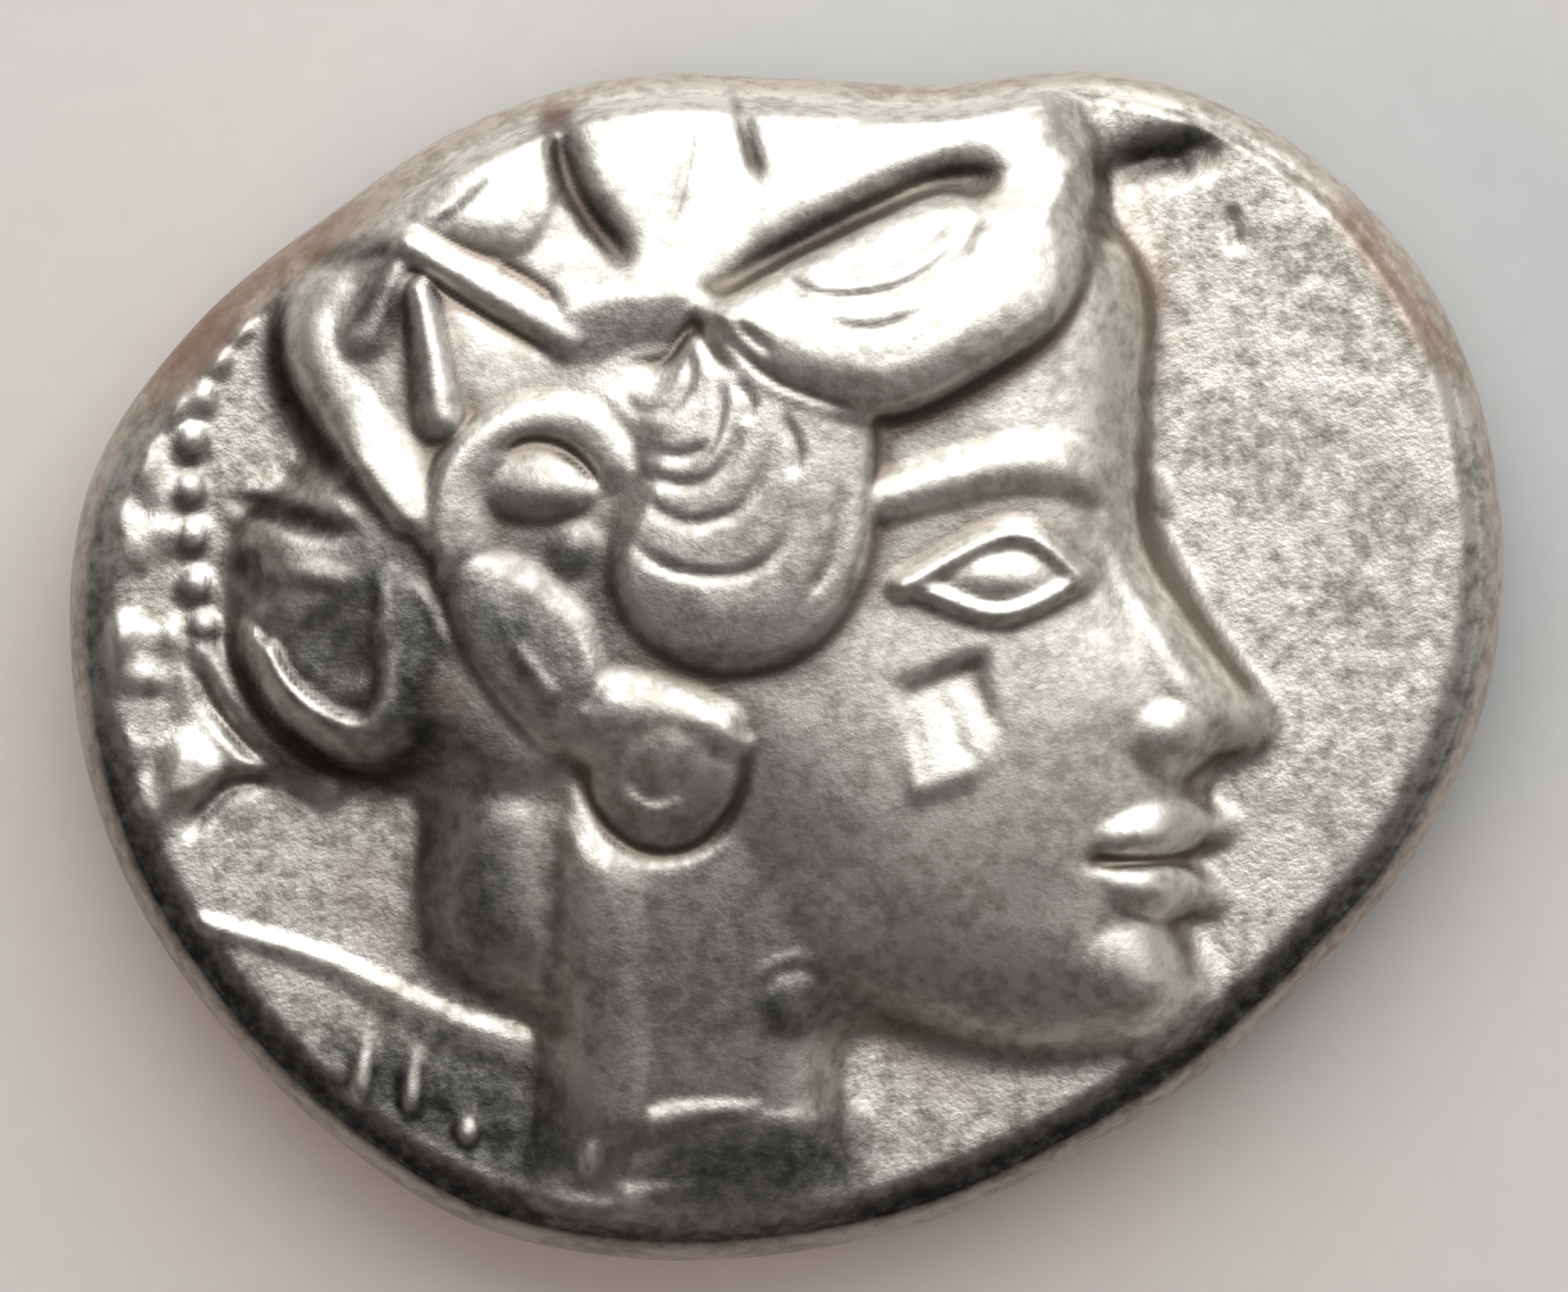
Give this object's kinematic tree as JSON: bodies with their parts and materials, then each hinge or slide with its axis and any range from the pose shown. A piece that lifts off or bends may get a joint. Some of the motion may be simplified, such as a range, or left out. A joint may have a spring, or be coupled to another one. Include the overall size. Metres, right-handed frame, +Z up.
{
  "type": "tetradrachm coin",
  "caption": "Thick oval hammered silver coin with a helmeted head in high relief on the face and an owl in a sunk square behind.",
  "frame": {"origin": "middle of the coin's bounding box, on the plane that the reverse rests on", "axes": "+Z up out of the struck face with the head, +X the way the head looks, along the oval's length, +Y to the top of the head"},
  "size_m": [0.025, 0.0208, 0.0062],
  "materials": {
    "silver": "struck and worn silver, darker and browner in the recesses and along the edge"
  },
  "bodies": {
    "root": {"coin": "silver"}
  },
  "joints": []
}
